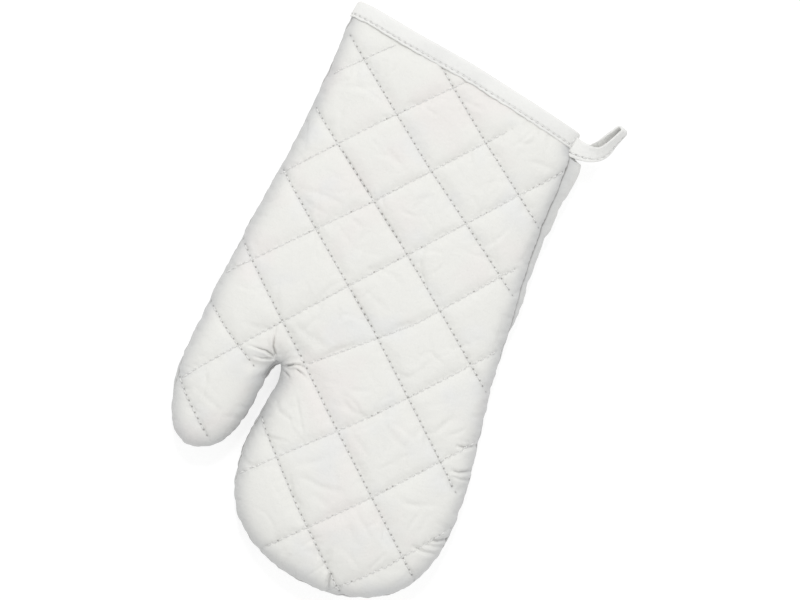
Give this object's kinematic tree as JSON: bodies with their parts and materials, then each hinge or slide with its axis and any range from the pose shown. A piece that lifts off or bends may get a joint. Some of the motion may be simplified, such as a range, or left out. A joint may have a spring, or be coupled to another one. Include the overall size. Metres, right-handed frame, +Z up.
{
  "type": "quilted oven mitt",
  "caption": "Quilted cotton barbecue glove with a thumb, a bound open cuff and a hanging loop, lying empty on its palm.",
  "frame": {"origin": "middle of the whole mitt's footprint, on the surface that it rests on", "axes": "+Y from the cuff to the fingertips, +X towards the thumb, +Z up from the palm to the back"},
  "size_m": [0.1988, 0.3168, 0.0297],
  "materials": {
    "quilted_cotton": "plain woven cotton over wadding, off-white, matt",
    "binding_tape": "folded cotton tape, off-white, matt",
    "stitching": "white cotton sewing thread"
  },
  "bodies": {
    "root": {"back_panel": "quilted_cotton", "palm_panel": "quilted_cotton", "cuff_binding": "binding_tape", "hanging_loop": "binding_tape"}
  },
  "joints": []
}
